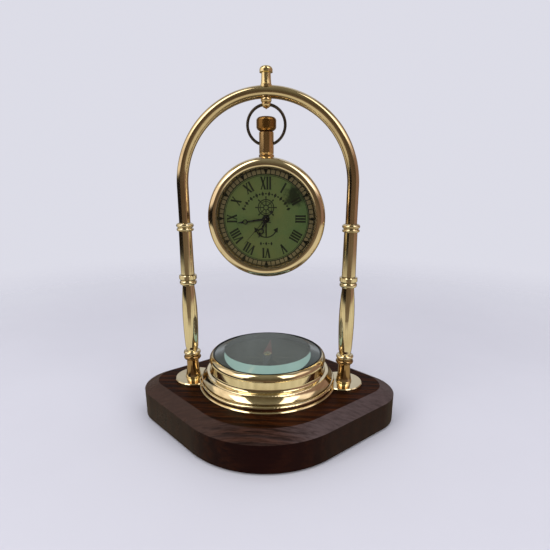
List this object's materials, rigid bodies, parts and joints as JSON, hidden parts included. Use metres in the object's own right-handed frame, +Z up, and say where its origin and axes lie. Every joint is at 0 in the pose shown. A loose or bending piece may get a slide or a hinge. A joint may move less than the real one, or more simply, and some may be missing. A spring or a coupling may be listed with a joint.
{
  "type": "hanging-watch desk clock with compass base",
  "caption": "Small brass desk clock: a pocket-watch clock hangs by its bow from a tubular arch above a glazed compass on a bevelled wooden base.",
  "frame": {"origin": "centre of the underside of the felt, on the plane the clock stands on", "axes": "+X along the arch to the viewer's right, +Y to the back, front and dial toward -Y, +Z up"},
  "size_m": [0.1202, 0.0956, 0.1537],
  "materials": {
    "rosewood": "polished dark rosewood",
    "felt": "dark green felt",
    "polished_brass": "polished",
    "antique_brass": "aged, lightly tarnished",
    "dark_bronze": "dark bronze",
    "steel": "turned",
    "black_steel": "blackened",
    "clear_glass": "clear, polished",
    "rubber": "matte",
    "compass_card": "satin print",
    "green_dial": "antiqued green print",
    "plastic": "moulded",
    "nickel": "plated",
    "copper": "enamelled wire",
    "board": "lacquered",
    "black_epoxy": "moulded"
  },
  "bodies": {
    "stand": {"wooden_base": "rosewood", "felt_pad": "felt", "base_plate": "polished_brass", "column_bolts": "steel", "compass_bolt": "steel", "base_washers": "steel", "compass_body": "polished_brass", "compass_bezel": "polished_brass", "compass_seal": "rubber", "compass_glass": "clear_glass", "compass_dial": "compass_card", "compass_pivot": "polished_brass", "left_column": "polished_brass", "right_column": "polished_brass", "left_sleeve": "polished_brass", "right_sleeve": "polished_brass", "arch_tube": "antique_brass", "finial": "polished_brass", "hanger": "antique_brass"},
    "needle": {"compass_needle": "black_steel", "needle_cap": "polished_brass"},
    "bow": {"bow_ring": "dark_bronze"},
    "watch": {"watch_case": "antique_brass", "pendant_neck": "antique_brass", "watch_bezel": "antique_brass", "crystal_gasket": "rubber", "crystal": "clear_glass", "back_cover": "antique_brass", "dial": "green_dial", "movement_holder": "plastic", "mainplate": "nickel", "train_bridge": "nickel", "movement_screws": "steel", "clamp_screw": "steel", "battery": "nickel", "battery_contact": "steel", "battery_clamp": "steel", "circuit_board": "board", "timer_chip": "black_epoxy", "quartz_can": "nickel", "coil_core": "steel", "coil_winding": "copper", "coil_screws": "steel", "stator": "steel"},
    "stem_catch": {"setting_lever": "steel"},
    "winder": {"crown": "antique_brass", "setting_stem": "steel"},
    "seconds": {"fourth_wheel": "polished_brass", "second_hand": "black_steel"},
    "minutes": {"centre_wheel": "polished_brass", "minute_hand": "black_steel"},
    "hours": {"hour_wheel": "polished_brass", "hour_hand": "black_steel"},
    "third": {"third_wheel": "polished_brass"},
    "intermediate": {"intermediate_wheel": "plastic"},
    "motor": {"rotor": "black_epoxy"},
    "motion": {"minute_wheel": "polished_brass"},
    "setting": {"setting_wheel": "polished_brass"}
  },
  "joints": [
    {"name": "bow_swing", "type": "hinge", "parent": "stand", "child": "bow", "pos_m": [0, 0, 0.13973], "axis": [1, 0, 0], "range_deg": [-40, 40]},
    {"name": "watch_swing", "type": "hinge", "parent": "bow", "child": "watch", "pos_m": [0, 0, 0.12485], "axis": [1, 0, 0], "range_deg": [-45, 45]},
    {"name": "crown_pull", "type": "slide", "parent": "watch", "child": "stem_catch", "axis": [0, 0, 1], "range_m": [0, 0.0008]},
    {"name": "crown_turn", "type": "hinge", "parent": "stem_catch", "child": "winder", "pos_m": [0, 0, 0.1318], "axis": [0, 0, 1], "continuous": true},
    {"name": "needle_spin", "type": "hinge", "parent": "stand", "child": "needle", "pos_m": [0, 0, 0.027], "axis": [0, 0, 1], "continuous": true},
    {"name": "seconds_turn", "type": "hinge", "parent": "watch", "child": "seconds", "pos_m": [0, 0, 0.0943], "axis": [0, 1, 0], "continuous": true},
    {"name": "minutes_turn", "type": "hinge", "parent": "watch", "child": "minutes", "pos_m": [0, 0, 0.0943], "axis": [0, 1, 0], "continuous": true},
    {"name": "hours_turn", "type": "hinge", "parent": "watch", "child": "hours", "pos_m": [0, 0, 0.0943], "axis": [0, 1, 0], "continuous": true},
    {"name": "third_turn", "type": "hinge", "parent": "watch", "child": "third", "pos_m": [-0.00479, 0, 0.09256], "axis": [0, 1, 0], "continuous": true},
    {"name": "intermediate_turn", "type": "hinge", "parent": "watch", "child": "intermediate", "pos_m": [0.00334, 0, 0.09032], "axis": [0, 1, 0], "continuous": true},
    {"name": "motor_turn", "type": "hinge", "parent": "watch", "child": "motor", "pos_m": [0.00757, 0, 0.08957], "axis": [0, 1, 0], "continuous": true},
    {"name": "motion_turn", "type": "hinge", "parent": "watch", "child": "motion", "pos_m": [-0.00204, 0, 0.09783], "axis": [0, 1, 0], "continuous": true},
    {"name": "setting_turn", "type": "hinge", "parent": "watch", "child": "setting", "pos_m": [-0.00031, 0, 0.10317], "axis": [0, 1, 0], "continuous": true}
  ],
  "couplings": [
    {"joint": "third_turn", "follows": "minutes_turn", "ratio": -8},
    {"joint": "seconds_turn", "follows": "minutes_turn", "ratio": 60},
    {"joint": "intermediate_turn", "follows": "minutes_turn", "ratio": -180},
    {"joint": "motor_turn", "follows": "minutes_turn", "ratio": 1800},
    {"joint": "motion_turn", "follows": "minutes_turn", "ratio": -0.33333},
    {"joint": "hours_turn", "follows": "minutes_turn", "ratio": 0.083333},
    {"joint": "setting_turn", "follows": "minutes_turn", "ratio": 0.4}
  ]
}
